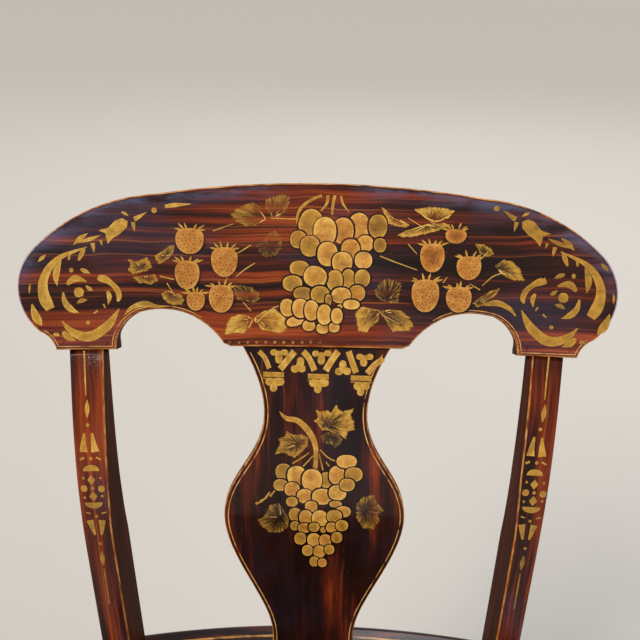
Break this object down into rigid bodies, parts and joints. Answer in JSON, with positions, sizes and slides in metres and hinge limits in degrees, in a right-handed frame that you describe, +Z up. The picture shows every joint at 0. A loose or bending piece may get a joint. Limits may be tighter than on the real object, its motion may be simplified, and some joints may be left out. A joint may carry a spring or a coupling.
{
  "type": "side chair",
  "caption": "Grain-painted, stenciled side chair: saddled plank seat, drooping-eared bowed crest rail, vase splat, bent stiles, turned legs and stretchers; seats one person at a table.",
  "frame": {"origin": "centre of the chair's bounding box, on the floor", "axes": "+Z up, -Y the way the sitter faces, +X to the right of someone who faces the chair's front"},
  "size_m": [0.4452, 0.4657, 0.8473],
  "materials": {
    "grained_paint": "gloss varnish over faux rosewood graining",
    "pin_paint": "varnished end grain of hardwood pins"
  },
  "bodies": {
    "root": {"seat_plank": "grained_paint", "crest_rail": "grained_paint", "splat": "grained_paint", "stile_left": "grained_paint", "stile_right": "grained_paint", "front_leg_left": "grained_paint", "front_leg_right": "grained_paint", "rear_leg_left": "grained_paint", "rear_leg_right": "grained_paint", "front_stretcher": "grained_paint", "side_stretcher_left": "grained_paint", "side_stretcher_right": "grained_paint", "rear_stretcher": "grained_paint", "leg_wedges": "pin_paint", "crest_pegs": "pin_paint"}
  },
  "joints": []
}
